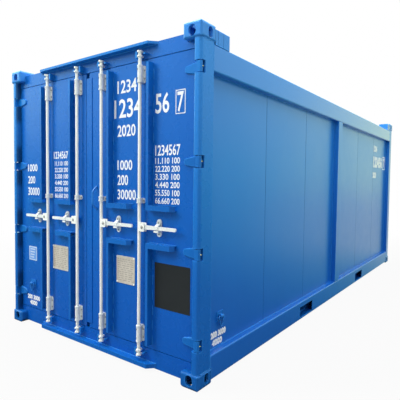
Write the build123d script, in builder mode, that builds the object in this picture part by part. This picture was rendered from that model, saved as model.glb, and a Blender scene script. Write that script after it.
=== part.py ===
from build123d import *
import os

# A twenty foot steel cargo container with flat plated sides and a pair of end doors.
# Millimetres. +Z is up, X runs across the container, Y along it, and the doors are at the -Y end.
# The origin is on the ground plane, in the middle of the footprint.

# Overall envelope
length = 6058.0
width = 2438.0
height = 2591.0

# Corner fittings
fitting_length = 178.0
fitting_width = 162.0
fitting_height = 118.0
fitting_wall = 20.0
fitting_plate = 28.0
fitting_round = 17.0
fitting_top_round = 26.0
fitting_foot_round = 50.0
fitting_outer_foot_round = 24.0
twistlock_slot_length = 124.0
twistlock_slot_width = 63.0
lashing_hole_height = 79.0
side_hole_width = 51.0
side_hole_shift = 20.0
lashing_hole_shift = 8.0
end_hole_width = 64.0

# Plate blocks welded behind the top fittings
block_length = 192.0
block_width = 150.0
block_top_drop = 20.0
block_round = 10.0
block_joints = (34.0, 104.0)
block_joint_width = 4.0

# The frame lies inside the faces of the fittings
side_setback = 6.0
end_setback = 8.0

# Corner posts
post_width = 69.0
post_depth = 154.0
post_round = 25.0
post_wall = 8.0

# Side rails
rail_depth = 100.0
rail_wall = 8.0
rail_round = 12.0
top_rail_height = 192.0
top_rail_drop = 13.0
bottom_rail_clearance = 25.0
bottom_rail_height = 188.0

# Door end header and sill
header_height = 114.0
header_above_fitting = 63.0
sill_height = 143.0
beam_wall = 8.0
lip_length = 1416.0
lip_centre = 7.0
lip_reach_setback = 2.0
lip_taper = 55.0
header_lip_height = 20.0
sill_lip_height = 34.0
sill_lip_rise = 7.0

# Flat panels of the sides, the end, the roof and the floor
panel_recess = 58.0
panel_thickness = 5.0
sheets_per_bay = 3
seam_width = 6.0
seam_depth = 1.5
mid_post_width = 146.0
mid_post_wall = 6.0
roof_drop = 7.0
roof_thickness = 5.0
bow_count = 9
bow_width = 40.0
bow_height = 60.0
floor_thickness = 28.0
floor_front_gap = 9.0

# Underframe
cross_member_width = 45.0
cross_member_height = 110.0
cross_member_wall = 5.0
cross_member_pitch = 380.0
fork_spacing = 2050.0
fork_width = 360.0
fork_height = 115.0
fork_rise = 20.0
fork_wall = 6.0

# Doors
door_recess = 60.0
door_thickness = 55.0
door_skin = 5.0
door_frame_width = 60.0
door_gap = 8.0
gasket_clearance = 5.0
gasket_depth = 24.0
centre_joint = -56.0
centre_gap = 44.0
cover_strip_width = 70.0
cover_strip_thickness = 5.0
cover_strip_clearance = 12.0
cover_strip_end = 41.0
stiffener_count = 4
stiffener_height = 50.0

# Hinges
hinge_count = 4
hinge_lowest = 324.0
hinge_top_gap = 314.0
pin_side_inset = 17.0
pin_front_inset = 18.0
pin_radius = 8.0
pin_play = 0.4
barrel_radius = 14.0
barrel_height = 76.0
knuckle_width = 24.0
notch_height = 88.0
notch_clearance = 6.0
notch_side_clearance = 20.0
lug_thickness = 16.0
blade_thickness = 12.0
blade_root_height = 76.0
blade_tip_height = 46.0
blade_tip_round = 20.0
blade_reach = 158.0
blade_bevel = 4.0

# Locking bars, their cams, keepers and guides
bar_radius = 13.5
bar_offset = 35.0
inner_bar_share = 0.135
outer_bar_share = 0.506
bar_play = 0.8
cam_inset = 61.0
cam_height = 48.0
cam_radius = 20.0
cam_arm_height = 12.0
cam_arm_width = 16.0
cam_arm_reach = 30.0
cam_nose_reach = 24.0
keeper_width = 18.0
keeper_depth = 38.0
keeper_height = 52.0
keeper_clearance = 11.0
tongue_clearance = 6.0
tongue_gap = 17.0
tongue_width = 16.0
guide_radius = 20.0
guide_web = 22.0
guide_rim = 2.5
guide_rim_height = 10.0
guide_pad_width = 62.0
guide_pad_thickness = 6.0
guide_pad_round = 14.0
long_guide_height = 132.0
long_guide_inset = 40.0
short_guide_height = 40.0
short_guide_level = 1333.0

# Handles and their catches
handle_level = 1130.0
handle_tip_gap = 90.0
handle_height = 26.0
handle_root_height = 36.0
handle_thickness = 12.0
handle_pin_offset = 40.0
handle_pin_radius = 6.0
hub_width = 64.0
hub_height = 68.0
hub_round = 8.0
hub_cheek = 8.0
hub_gap = 2.0
strap_width = 32.0
strap_thickness = 6.0
strap_rise = 56.0
strap_bend = 32.0
strap_clearance = 5.0
catch_share = 0.51
catch_width = 44.0
catch_height = 136.0
catch_plate = 8.0
catch_seat_height = 14.0
catch_seat_clearance = 5.0

# Guard angles that stand on the doors beside the bars
guard_offset = 81.0
guard_width = 25.0
guard_depth = 52.0
guard_wall = 6.0
guard_end_gap = 29.0
shelf_bar_gap = 103.0
shelf_height = 40.0
shelf_chamfer = 28.0
upper_shelf_level = 1262.0
lower_shelf_level = 1010.0

# Grab bar on the right door
grab_radius = 7.0
grab_x = 62.0
grab_level = 1337.0
grab_foot_spread = 198.0
grab_grip_spread = 110.0
grab_reach = 46.0

# Rings for tag lines, each under a strap on a pad
ring_radius = 6.0
ring_width = 84.0
ring_height = 96.0
ring_top_level = 450.0
door_ring_level = 432.0
ring_stand_off = 20.0
ring_corner = 12.0
ring_strap_width = 34.0
ring_strap_radius = 14.0
ring_pad_width = 88.0
ring_pad_height = 76.0
ring_pad_top = 36.0
ring_pad_thickness = 6.0
side_ring_inset = 364.0
door_ring_inset = 291.0

# Places worked out from the sizes above
half_w = width / 2
half_l = length / 2
frame_x = half_w - side_setback
frame_y = half_l - end_setback
post_in_x = frame_x - post_width
post_in_y = frame_y - post_depth
post_bottom = fitting_height
post_top = height - fitting_height
fitting_in_x = half_w - fitting_width
fitting_in_y = half_l - fitting_length
rail_in_x = frame_x - rail_depth
top_rail_top = post_top - top_rail_drop
top_rail_bottom = top_rail_top - top_rail_height
bottom_rail_top = bottom_rail_clearance + bottom_rail_height
door_face = -half_l + door_recess
door_back = door_face + door_thickness
beam_back = -post_in_y
header_top = post_top + header_above_fitting
header_bottom = header_top - header_height
sill_bottom = bottom_rail_clearance
sill_top = sill_bottom + sill_height
panel_x = frame_x - panel_recess
end_panel_y = frame_y - panel_recess
roof_top = top_rail_top - roof_drop
floor_bottom = sill_top
leaf_bottom = sill_top + door_gap
leaf_top = header_bottom - door_gap
leaf_out_x = post_in_x - door_gap
pin_x = frame_x - pin_side_inset
pin_y = -frame_y + pin_front_inset
bar_y = door_face - bar_offset
bar_top = header_bottom + cam_inset
bar_bottom = sill_top - cam_inset
hinge_pitch = (height - hinge_top_gap - hinge_lowest) / (hinge_count - 1)
hinge_levels = [hinge_lowest + hinge_pitch * n for n in range(hinge_count)]
bar_inner = inner_bar_share * half_w
bar_outer = outer_bar_share * half_w
bar_spacing = bar_outer - bar_inner
handle_reach = bar_spacing - handle_tip_gap
catch_offset = catch_share * handle_reach
shelf_length = bar_spacing - guard_offset - shelf_bar_gap

os.makedirs("parts", exist_ok=True)


def keep(builder, label):
    """Name a finished piece and write it."""
    builder.part.label = label
    export_step(builder.part, f"parts/{label}.step")


def block(x0, x1, y0, y1, z0, z1, mode=Mode.ADD):
    """A box between two corners."""
    with Locations(((x0 + x1) / 2, (y0 + y1) / 2, (z0 + z1) / 2)):
        Box(abs(x1 - x0), abs(y1 - y0), abs(z1 - z0), mode=mode)


def rod(x, y, z0, z1, radius, mode=Mode.ADD):
    """An upright round bar."""
    with Locations((x, y, (z0 + z1) / 2)):
        Cylinder(radius, z1 - z0, mode=mode)


def corner_fitting(top):
    """One hollow fitting at the +X, -Y corner, with its slot and two lashing holes."""
    base = height - fitting_height if top else 0.0
    middle = base + fitting_height / 2
    centre_x = half_w - fitting_width / 2
    centre_y = -half_l + fitting_length / 2
    inner_foot = fitting_round if top else fitting_foot_round
    outer_foot = fitting_round if top else fitting_outer_foot_round
    head_round = fitting_top_round if top else fitting_round
    hole_level = middle - lashing_hole_shift if top else middle + lashing_hole_shift
    with BuildPart() as fitting:
        with BuildSketch(Plane.XY.offset(base)):
            with Locations((centre_x, centre_y)):
                RectangleRounded(fitting_width, fitting_length, fitting_round)
        extrude(amount=fitting_height)
        with BuildSketch(Plane.XZ.offset(half_l)) as end_outline:
            with Locations((centre_x, middle)):
                Rectangle(fitting_width, fitting_height)
            fillet(end_outline.vertices().group_by(Axis.Y)[-1], head_round)
            fillet(end_outline.vertices().sort_by(Axis((0, 0, 0), (1, 1, 0)))[0], inner_foot)
            fillet(end_outline.vertices().sort_by(Axis((0, 0, 0), (1, -1, 0)))[-1], outer_foot)
        extrude(amount=-fitting_length, mode=Mode.INTERSECT)
        with BuildSketch(Plane.YZ.offset(half_w)) as side_outline:
            with Locations((centre_y, middle)):
                Rectangle(fitting_length, fitting_height)
            fillet(side_outline.vertices().group_by(Axis.Y)[-1], head_round)
            fillet(side_outline.vertices().sort_by(Axis((0, 0, 0), (-1, 1, 0)))[0], inner_foot)
            fillet(side_outline.vertices().sort_by(Axis((0, 0, 0), (-1, -1, 0)))[-1], outer_foot)
        extrude(amount=-fitting_width, mode=Mode.INTERSECT)
        block(
            fitting_in_x + fitting_wall, half_w - fitting_wall,
            -half_l + fitting_wall, -fitting_in_y - fitting_wall,
            base + fitting_plate, base + fitting_height - fitting_plate,
            mode=Mode.SUBTRACT,
        )
        slot_base = middle if top else base
        with BuildSketch(Plane.XY.offset(slot_base)):
            with Locations((centre_x, centre_y)):
                SlotOverall(twistlock_slot_length, twistlock_slot_width, rotation=90)
        extrude(amount=fitting_height / 2, mode=Mode.SUBTRACT)
        with BuildSketch(Plane.YZ.offset(centre_x)):
            with Locations((centre_y + side_hole_shift, hole_level)):
                SlotOverall(lashing_hole_height, side_hole_width, rotation=90)
        extrude(amount=fitting_width, mode=Mode.SUBTRACT)
        with BuildSketch(Plane.XZ.offset(-centre_y)):
            with Locations((centre_x, hole_level)):
                SlotOverall(lashing_hole_height, end_hole_width, rotation=90)
        extrude(amount=fitting_length, mode=Mode.SUBTRACT)
    return fitting.part


for top, label in ((True, "top_corner_fittings"), (False, "bottom_corner_fittings")):
    one_fitting = corner_fitting(top)
    with BuildPart() as fittings:
        add(one_fitting)
        mirror(about=Plane.YZ)
        mirror(about=Plane.XZ)
    keep(fittings, label)

with BuildPart() as corner_blocks:
    block(
        frame_x - block_width, frame_x,
        -fitting_in_y, -fitting_in_y + block_length,
        top_rail_top, height - block_top_drop,
    )
    fillet(corner_blocks.edges().filter_by(Axis.X).group_by(Axis.Z)[-1].sort_by(Axis.Y)[-1], block_round)
    fillet(corner_blocks.edges().filter_by(Axis.Y).group_by(Axis.Z)[-1], block_round)
    for joint in block_joints:
        block(
            frame_x - block_joint_width, frame_x,
            -fitting_in_y + joint - block_joint_width / 2, -fitting_in_y + joint + block_joint_width / 2,
            top_rail_top, height,
            mode=Mode.SUBTRACT,
        )
    mirror(about=Plane.YZ)
    mirror(about=Plane.XZ)
keep(corner_blocks, "top_corner_blocks")


def post_shell():
    """A hollow corner post at the +X, -Y corner, with a rounded nose towards the doors."""
    with BuildPart() as post:
        with BuildSketch(Plane.XY.offset(post_bottom)):
            with Locations((frame_x - post_width / 2, -frame_y + post_depth / 2)):
                outer = Rectangle(post_width, post_depth)
            fillet(outer.vertices().group_by(Axis.Y)[0], post_round)
        extrude(amount=post_top - post_bottom)
        with BuildSketch(Plane.XY.offset(post_bottom)):
            with Locations((frame_x - post_width / 2, -frame_y + post_depth / 2)):
                inner = Rectangle(post_width - 2 * post_wall, post_depth - 2 * post_wall)
            fillet(inner.vertices().group_by(Axis.Y)[0], post_round - post_wall)
        extrude(amount=post_top - post_bottom, mode=Mode.SUBTRACT)
    return post.part


notch_back = door_face + notch_clearance
notch_side_back = pin_y + barrel_radius + notch_side_clearance
pin_reach = notch_height / 2 + lug_thickness
with BuildPart() as door_posts:
    add(post_shell())
    for level in hinge_levels:
        block(
            post_in_x + post_wall, frame_x - post_wall, -frame_y + post_wall, notch_back + post_wall,
            level - pin_reach, level + pin_reach,
        )
        notch = (level - notch_height / 2, level + notch_height / 2)
        block(post_in_x, pin_x, -half_l, notch_back, *notch, mode=Mode.SUBTRACT)
        block(pin_x, half_w, -half_l, notch_side_back, *notch, mode=Mode.SUBTRACT)
        rod(pin_x, pin_y, level - pin_reach, level + pin_reach, pin_radius, mode=Mode.SUBTRACT)
    mirror(about=Plane.YZ)
keep(door_posts, "door_posts")

with BuildPart() as end_posts:
    add(post_shell())
    mirror(about=Plane.XZ, mode=Mode.REPLACE)
    mirror(about=Plane.YZ)
keep(end_posts, "end_posts")

with BuildPart() as hinge_pins:
    for level in hinge_levels:
        rod(pin_x, pin_y, level - pin_reach, level + pin_reach, pin_radius)
    mirror(about=Plane.YZ)
keep(hinge_pins, "hinge_pins")


def end_beam(front, back, bottom, top, notch_bottom, notch_top):
    """A hollow beam across an end frame, cut back at both ends to pass the corner fittings."""
    block(-post_in_x, post_in_x, front, back, bottom, top)
    block(
        -post_in_x, post_in_x, front + beam_wall, back - beam_wall, bottom + beam_wall, top - beam_wall,
        mode=Mode.SUBTRACT,
    )
    for side in (-1, 1):
        block(side * fitting_in_x, side * half_w, front, back, notch_bottom, notch_top, mode=Mode.SUBTRACT)


with BuildPart() as door_header:
    end_beam(door_face, beam_back, header_bottom, header_top, post_top, header_top)
keep(door_header, "door_header")

with BuildPart() as door_sill:
    end_beam(door_face, beam_back, sill_bottom, sill_top, sill_bottom, post_bottom)
keep(door_sill, "door_sill")

with BuildPart() as end_header:
    end_beam(post_in_y, frame_y, header_bottom, header_top, post_top, header_top)
with BuildPart() as end_sill:
    end_beam(post_in_y, frame_y, sill_bottom, bottom_rail_top, sill_bottom, post_bottom)
with BuildPart() as end_beams:
    add(end_header.part)
    add(end_sill.part)
keep(end_beams, "end_beams")

lip_front = -half_l + lip_reach_setback
sill_lip_bottom = sill_bottom + sill_lip_rise
lip_levels = (
    (header_top - header_lip_height, header_top),
    (sill_lip_bottom, sill_lip_bottom + sill_lip_height),
)
with BuildPart() as door_lips:
    for bottom, top in lip_levels:
        with BuildSketch(Plane.XY.offset(bottom)):
            with BuildLine():
                Polyline(
                    (lip_centre - lip_length / 2 - lip_taper, door_face),
                    (lip_centre - lip_length / 2, lip_front),
                    (lip_centre + lip_length / 2, lip_front),
                    (lip_centre + lip_length / 2 + lip_taper, door_face),
                    close=True,
                )
            make_face()
        extrude(amount=top - bottom)
keep(door_lips, "door_lips")


def side_rail(bottom, top):
    """A hollow rail along the +X side, between the corner posts."""
    with BuildPart() as rail:
        with BuildSketch(Plane.XZ.offset(post_in_y)):
            with Locations((frame_x - rail_depth / 2, (bottom + top) / 2)):
                RectangleRounded(rail_depth, top - bottom, rail_round)
                RectangleRounded(
                    rail_depth - 2 * rail_wall, top - bottom - 2 * rail_wall, rail_round - rail_wall,
                    mode=Mode.SUBTRACT,
                )
        extrude(amount=-2 * post_in_y)
    return rail.part


with BuildPart() as top_side_rails:
    add(side_rail(top_rail_bottom, top_rail_top))
    mirror(about=Plane.YZ)
keep(top_side_rails, "top_side_rails")

fork_bottom = bottom_rail_clearance + fork_rise
fork_top = fork_bottom + fork_height
with BuildPart() as bottom_side_rails:
    add(side_rail(bottom_rail_clearance, bottom_rail_top))
    for end in (-1, 1):
        fork_y = end * fork_spacing / 2
        block(
            rail_in_x, half_w, fork_y - fork_width / 2, fork_y + fork_width / 2, fork_bottom, fork_top,
            mode=Mode.SUBTRACT,
        )
        block(rail_in_x, half_w, end * fitting_in_y, end * half_l, 0, fitting_height, mode=Mode.SUBTRACT)
    mirror(about=Plane.YZ)
keep(bottom_side_rails, "bottom_side_rails")

panel_in_x = panel_x - panel_thickness
with BuildPart() as mid_posts:
    block(panel_in_x, frame_x, -mid_post_width / 2, mid_post_width / 2, bottom_rail_top, top_rail_bottom)
    block(
        panel_in_x, frame_x - mid_post_wall,
        -mid_post_width / 2 + mid_post_wall, mid_post_width / 2 - mid_post_wall,
        bottom_rail_top, top_rail_bottom,
        mode=Mode.SUBTRACT,
    )
    mirror(about=Plane.YZ)
keep(mid_posts, "mid_posts")

with BuildPart() as side_panels:
    bay_start = -post_in_y
    bay_length = post_in_y - mid_post_width / 2
    block(panel_in_x, panel_x, bay_start, bay_start + bay_length, bottom_rail_top, top_rail_bottom)
    for sheet in range(1, sheets_per_bay):
        seam = bay_start + bay_length * sheet / sheets_per_bay
        block(
            panel_x - seam_depth, panel_x, seam - seam_width / 2, seam + seam_width / 2,
            bottom_rail_top, top_rail_bottom,
            mode=Mode.SUBTRACT,
        )
    mirror(about=Plane.XZ)
    mirror(about=Plane.YZ)
keep(side_panels, "side_panels")

with BuildPart() as end_wall:
    end_panel_in_y = end_panel_y - panel_thickness
    block(-post_in_x, post_in_x, end_panel_in_y, end_panel_y, bottom_rail_top, header_bottom)
    for sheet in range(1, sheets_per_bay):
        seam = -post_in_x + 2 * post_in_x * sheet / sheets_per_bay
        block(
            seam - seam_width / 2, seam + seam_width / 2, end_panel_y - seam_depth, end_panel_y,
            bottom_rail_top, header_bottom,
            mode=Mode.SUBTRACT,
        )
keep(end_wall, "end_wall")

roof_bottom = roof_top - roof_thickness
with BuildPart() as roof:
    block(-rail_in_x, rail_in_x, beam_back, post_in_y, roof_bottom, roof_top)
keep(roof, "roof")

with BuildPart() as roof_bows:
    with GridLocations(0, 2 * post_in_y / (bow_count + 1), 1, bow_count):
        with Locations((0, 0, roof_bottom - bow_height / 2)):
            Box(2 * rail_in_x, bow_width, bow_height)
keep(roof_bows, "roof_bows")

with BuildPart() as floor:
    block(
        -rail_in_x, rail_in_x, door_back + floor_front_gap, post_in_y,
        floor_bottom, floor_bottom + floor_thickness,
    )
keep(floor, "floor")

fork_half = fork_width / 2 + fork_wall
member_base = floor_bottom - cross_member_height
member_reach = int((fitting_in_y - cross_member_width) / cross_member_pitch)
with BuildPart() as cross_members:
    for step in range(-member_reach, member_reach + 1):
        member_y = step * cross_member_pitch
        if abs(abs(member_y) - fork_spacing / 2) < fork_half + cross_member_width:
            continue
        front = member_y - cross_member_width / 2
        back = member_y + cross_member_width / 2
        block(-rail_in_x, rail_in_x, front, back, member_base, floor_bottom)
        block(
            -rail_in_x, rail_in_x, front + cross_member_wall, back,
            member_base + cross_member_wall, floor_bottom - cross_member_wall,
            mode=Mode.SUBTRACT,
        )
keep(cross_members, "cross_members")

with BuildPart() as fork_tunnels:
    for end in (-1, 1):
        fork_y = end * fork_spacing / 2
        block(
            -rail_in_x, rail_in_x, fork_y - fork_half, fork_y + fork_half,
            fork_bottom - fork_wall, fork_top + fork_wall,
        )
        block(
            -rail_in_x, rail_in_x, fork_y - fork_width / 2, fork_y + fork_width / 2,
            fork_bottom, fork_top,
            mode=Mode.SUBTRACT,
        )
keep(fork_tunnels, "fork_tunnels")

cam_levels = (bar_bottom + cam_height / 2, bar_top - cam_height / 2)
tongue_height = cam_height - 2 * (cam_arm_height + tongue_clearance)
with BuildPart() as cam_keepers:
    for bar_x in (bar_inner, bar_outer):
        lug_x = bar_x - cam_radius - keeper_clearance
        tongue_x = bar_x + cam_radius + tongue_gap
        for level in cam_levels:
            for edge_0, edge_1, rise in (
                (lug_x - keeper_width, lug_x, keeper_height),
                (tongue_x, tongue_x + tongue_width, tongue_height),
            ):
                block(
                    edge_0, edge_1, door_face - keeper_depth, door_face,
                    level - rise / 2, level + rise / 2,
                )
    mirror(about=Plane.YZ)
keep(cam_keepers, "cam_keepers")


def tag_ring(wall):
    """A three cornered ring under a strap on a pad, on a wall plane whose normal points outwards."""
    with BuildPart() as ring:
        with BuildSketch(wall):
            with Locations((0, ring_pad_top - ring_pad_height / 2)):
                Rectangle(ring_pad_width, ring_pad_height)
        extrude(amount=ring_pad_thickness)
        with BuildLine(wall.offset(ring_stand_off)) as path:
            FilletPolyline(
                (-ring_width / 2, 0),
                (0, -ring_height),
                (ring_width / 2, 0),
                radius=ring_corner,
                close=True,
            )
        with BuildSketch(Plane(origin=path.line @ 0, z_dir=path.line % 0)):
            Circle(ring_radius)
        sweep()
        strap_origin = wall.from_local_coords((0, 0, ring_stand_off))
        strap_axis = Plane(strap_origin, x_dir=wall.z_dir, z_dir=wall.x_dir)
        with BuildSketch(strap_axis):
            Circle(ring_strap_radius)
            with Locations((-ring_stand_off / 2, 0)):
                Rectangle(ring_stand_off, 2 * ring_strap_radius)
        extrude(amount=ring_strap_width / 2, both=True)
    return ring.part


side_ring_y = half_l - side_ring_inset
door_ring_x = half_w - door_ring_inset
with BuildPart() as wall_tag_eyes:
    add(tag_ring(Plane((panel_x, -side_ring_y, ring_top_level), x_dir=(0, 1, 0), z_dir=(1, 0, 0))))
    add(tag_ring(Plane((-panel_x, side_ring_y, ring_top_level), x_dir=(0, -1, 0), z_dir=(-1, 0, 0))))
    add(tag_ring(Plane((door_ring_x, end_panel_y, ring_top_level), x_dir=(-1, 0, 0), z_dir=(0, 1, 0))))
keep(wall_tag_eyes, "wall_tag_eyes")

with BuildPart() as door_tag_eye:
    add(tag_ring(Plane((-door_ring_x, door_face, door_ring_level), x_dir=(1, 0, 0), z_dir=(0, -1, 0))))
keep(door_tag_eye, "door_tag_eye")

leaf_edges = {
    "right": (centre_joint + centre_gap / 2, leaf_out_x),
    "left": (-leaf_out_x, centre_joint - centre_gap / 2),
}
for side, (edge_0, edge_1) in leaf_edges.items():
    with BuildPart() as leaf:
        block(edge_0, edge_1, door_face, door_back, leaf_bottom, leaf_top)
        pocket_bottom = leaf_bottom + door_frame_width
        pocket_top = leaf_top - door_frame_width
        pocket_pitch = (pocket_top + stiffener_height - pocket_bottom) / (stiffener_count + 1)
        for row in range(stiffener_count + 1):
            base = pocket_bottom + row * pocket_pitch
            block(
                edge_0 + door_frame_width, edge_1 - door_frame_width, door_face + door_skin, door_back,
                base, base + pocket_pitch - stiffener_height,
                mode=Mode.SUBTRACT,
            )
    keep(leaf, f"{side}_door_leaf")

    lip_width = door_gap - gasket_clearance
    seal_0 = edge_0 - lip_width
    seal_1 = edge_1 + lip_width if side == "right" else edge_1
    gasket_front = door_back - gasket_depth
    with BuildPart() as gasket:
        block(
            seal_0, seal_1, gasket_front, gasket_front + gasket_depth,
            leaf_bottom - lip_width, leaf_top + lip_width,
        )
        block(edge_0, edge_1, door_face, door_back, leaf_bottom, leaf_top, mode=Mode.SUBTRACT)
    keep(gasket, f"{side}_door_gasket")

strip_left = leaf_edges["left"][1] + cover_strip_clearance
with BuildPart() as centre_cover_strip:
    block(
        strip_left, strip_left + cover_strip_width, door_face - cover_strip_thickness, door_face,
        leaf_bottom + cover_strip_end, leaf_top - cover_strip_end,
    )
keep(centre_cover_strip, "centre_cover_strip")

with BuildPart() as grab_bar:
    with BuildLine(Plane.YZ.offset(grab_x)) as grab_path:
        FilletPolyline(
            (door_face, grab_level + grab_foot_spread / 2),
            (door_face - grab_reach, grab_level + grab_grip_spread / 2),
            (door_face - grab_reach, grab_level - grab_grip_spread / 2),
            (door_face, grab_level - grab_foot_spread / 2),
            radius=3 * grab_radius,
        )
    with BuildSketch(Plane(origin=grab_path.line @ 0, z_dir=grab_path.line % 0)):
        Circle(grab_radius)
    sweep()
    split(bisect_by=Plane.XZ.offset(-door_face), keep=Keep.TOP)
keep(grab_bar, "grab_bar")


def keep_pair(part, label):
    """Write a piece of the right door, and its mirror image on the left door."""
    with BuildPart() as right_piece:
        add(part)
    keep(right_piece, f"right_{label}")
    with BuildPart() as left_piece:
        add(part)
        mirror(about=Plane.YZ, mode=Mode.REPLACE)
    keep(left_piece, f"left_{label}")


blade_front = door_face - blade_thickness
blade_tip = pin_x - blade_reach
neck_back = pin_x - notch_clearance
with BuildPart() as hinge_blade:
    with BuildSketch(Plane.XZ.offset(-door_face)) as blade_outline:
        with BuildLine():
            Polyline(
                (neck_back, -blade_root_height / 2),
                (neck_back, blade_root_height / 2),
                (post_in_x - door_gap, blade_root_height / 2),
                (blade_tip, blade_tip_height / 2),
                (blade_tip, -blade_tip_height / 2),
                (post_in_x - door_gap, -blade_root_height / 2),
                close=True,
            )
        make_face()
        fillet(blade_outline.vertices().group_by(Axis.X)[0], blade_tip_round)
    extrude(amount=blade_thickness)
    chamfer(hinge_blade.faces().sort_by(Axis.Y)[0].edges(), blade_bevel)
    block(
        pin_x - knuckle_width, pin_x, pin_y - barrel_radius, blade_front,
        -blade_root_height / 2, blade_root_height / 2,
    )
    rod(pin_x, pin_y, -barrel_height / 2, barrel_height / 2, barrel_radius)
    rod(pin_x, pin_y, -barrel_height / 2, barrel_height / 2, pin_radius + pin_play, mode=Mode.SUBTRACT)
with BuildPart() as hinge_blades:
    with Locations(*((0, 0, level) for level in hinge_levels)):
        add(hinge_blade.part)
keep_pair(hinge_blades.part, "hinge_blades")

guard_front = door_face - guard_depth
with BuildPart() as door_guards:
    for bar_x in (bar_inner, bar_outer):
        inner_edge = bar_x + guard_offset
        outer_edge = inner_edge + guard_width
        shelf_end = inner_edge + shelf_length
        lower_base = lower_shelf_level - shelf_height
        runs = (
            (
                leaf_bottom + guard_end_gap, lower_base, lower_base,
                lower_base, lower_shelf_level - guard_wall,
            ),
            (
                upper_shelf_level + shelf_height, leaf_top - guard_end_gap, upper_shelf_level,
                upper_shelf_level + guard_wall, upper_shelf_level + shelf_height,
            ),
        )
        for run_bottom, run_top, shelf_base, hollow_base, hollow_top in runs:
            with BuildSketch(Plane.XY.offset(run_bottom)):
                with BuildLine():
                    Polyline(
                        (inner_edge, guard_front),
                        (outer_edge, guard_front),
                        (outer_edge, door_face),
                        (outer_edge - guard_wall, door_face),
                        (outer_edge - guard_wall, guard_front + guard_wall),
                        (inner_edge, guard_front + guard_wall),
                        close=True,
                    )
                make_face()
            extrude(amount=run_top - run_bottom)
            for step_back, base, rise, mode in (
                (0, shelf_base, shelf_height, Mode.ADD),
                (guard_wall, hollow_base, hollow_top - hollow_base, Mode.SUBTRACT),
            ):
                with BuildSketch(Plane.XY.offset(base)):
                    with BuildLine():
                        Polyline(
                            (inner_edge, door_face),
                            (inner_edge, guard_front + step_back),
                            (shelf_end - shelf_chamfer, guard_front + step_back),
                            (shelf_end, guard_front + step_back + shelf_chamfer),
                            (shelf_end, door_face),
                            close=True,
                        )
                    make_face()
                extrude(amount=rise, mode=mode)
keep_pair(door_guards.part, "door_guards")

with BuildPart() as bar_guides:
    for bar_x in (bar_inner, bar_outer):
        guides = (
            (leaf_bottom + long_guide_inset, long_guide_height),
            (short_guide_level - short_guide_height / 2, short_guide_height),
            (leaf_top - long_guide_inset - long_guide_height, long_guide_height),
        )
        for base, rise in guides:
            with BuildSketch(Plane.XZ.offset(-door_face)):
                with Locations((bar_x, base + rise / 2)):
                    RectangleRounded(guide_pad_width, rise, guide_pad_round)
            extrude(amount=guide_pad_thickness)
            block(bar_x - guide_web / 2, bar_x + guide_web / 2, bar_y, door_face, base, base + rise)
            rod(bar_x, bar_y, base, base + rise, guide_radius)
            for rim_base in (base, base + rise - guide_rim_height):
                rod(bar_x, bar_y, rim_base, rim_base + guide_rim_height, guide_radius + guide_rim)
            rod(bar_x, bar_y, base, base + rise, bar_radius + bar_play, mode=Mode.SUBTRACT)
keep_pair(bar_guides.part, "bar_guides")

seat_top = handle_level - handle_height / 2 - catch_seat_clearance
with BuildPart() as handle_catches:
    for bar_x in (bar_inner, bar_outer):
        catch_x = bar_x + catch_offset
        with BuildSketch(Plane.XZ.offset(-door_face)):
            with Locations((catch_x, handle_level)):
                SlotOverall(catch_height, catch_width, rotation=90)
        extrude(amount=catch_plate)
        block(
            catch_x - catch_width / 2, catch_x + catch_width / 2, bar_y - handle_thickness, door_face,
            seat_top - catch_seat_height, seat_top,
        )
keep_pair(handle_catches.part, "handle_catches")

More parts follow.
